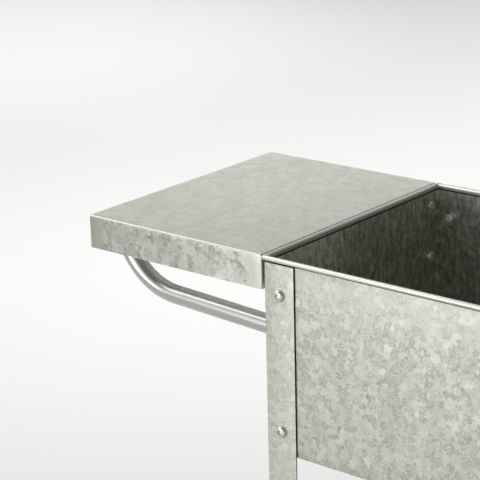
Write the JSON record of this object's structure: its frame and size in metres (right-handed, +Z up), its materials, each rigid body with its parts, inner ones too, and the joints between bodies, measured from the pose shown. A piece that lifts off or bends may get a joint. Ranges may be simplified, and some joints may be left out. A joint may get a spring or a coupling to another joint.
{
  "type": "potting bench",
  "caption": "Galvanised potting bench: deep open tub with a rolled rim on angle legs, side shelf on bent tube brackets and a lower shelf.",
  "frame": {"origin": "on the floor, under the middle of the whole bench's bounding box", "axes": "+X along the bench, from the side shelf towards the plain end; +Y from front to back; +Z up"},
  "size_m": [0.9222, 0.3514, 0.81],
  "materials": {
    "galvanised_sheet": "hot-dip galvanised with visible spangle, semi-gloss",
    "galvanised_angle": "galvanised, semi-gloss, fine spangle",
    "satin_tube": "satin, smooth",
    "zinc_plated_fastener": "bright zinc plate",
    "foot_plastic": "matt moulded plastic"
  },
  "bodies": {
    "root": {"bracket_bolt_front": "zinc_plated_fastener", "bracket_bolt_rear": "zinc_plated_fastener", "bracket_nut_front_1": "zinc_plated_fastener", "bracket_nut_front_2": "zinc_plated_fastener", "bracket_nut_rear_1": "zinc_plated_fastener", "bracket_nut_rear_2": "zinc_plated_fastener", "floor_ledge": "galvanised_sheet", "foot_cap_front_left": "foot_plastic", "foot_cap_front_right": "foot_plastic", "foot_cap_rear_left": "foot_plastic", "foot_cap_rear_right": "foot_plastic", "leg_front_left": "galvanised_angle", "leg_front_right": "galvanised_angle", "leg_rear_left": "galvanised_angle", "leg_rear_right": "galvanised_angle", "lower_shelf": "galvanised_sheet", "rim_wire": "galvanised_angle", "shelf_bolt_front": "zinc_plated_fastener", "shelf_bolt_rear": "zinc_plated_fastener", "shelf_bracket_front": "satin_tube", "shelf_bracket_rear": "satin_tube", "shelf_nut_front": "zinc_plated_fastener", "shelf_nut_rear": "zinc_plated_fastener", "shelf_spacer_front": "zinc_plated_fastener", "shelf_spacer_rear": "zinc_plated_fastener", "side_shelf": "galvanised_sheet", "tub_bolt_front_left_1": "zinc_plated_fastener", "tub_bolt_front_left_2": "zinc_plated_fastener", "tub_bolt_front_left_3": "zinc_plated_fastener", "tub_bolt_front_right_1": "zinc_plated_fastener", "tub_bolt_front_right_2": "zinc_plated_fastener", "tub_bolt_front_right_3": "zinc_plated_fastener", "tub_bolt_front_right_4": "zinc_plated_fastener", "tub_bolt_rear_left_1": "zinc_plated_fastener", "tub_bolt_rear_left_2": "zinc_plated_fastener", "tub_bolt_rear_left_3": "zinc_plated_fastener", "tub_bolt_rear_right_1": "zinc_plated_fastener", "tub_bolt_rear_right_2": "zinc_plated_fastener", "tub_bolt_rear_right_3": "zinc_plated_fastener", "tub_bolt_rear_right_4": "zinc_plated_fastener", "tub_floor": "galvanised_sheet", "tub_nut_front_left_1": "zinc_plated_fastener", "tub_nut_front_left_2": "zinc_plated_fastener", "tub_nut_front_left_3": "zinc_plated_fastener", "tub_nut_front_right_1": "zinc_plated_fastener", "tub_nut_front_right_2": "zinc_plated_fastener", "tub_nut_front_right_3": "zinc_plated_fastener", "tub_nut_front_right_4": "zinc_plated_fastener", "tub_nut_rear_left_1": "zinc_plated_fastener", "tub_nut_rear_left_2": "zinc_plated_fastener", "tub_nut_rear_left_3": "zinc_plated_fastener", "tub_nut_rear_right_1": "zinc_plated_fastener", "tub_nut_rear_right_2": "zinc_plated_fastener", "tub_nut_rear_right_3": "zinc_plated_fastener", "tub_nut_rear_right_4": "zinc_plated_fastener", "tub_walls": "galvanised_sheet"}
  },
  "joints": []
}
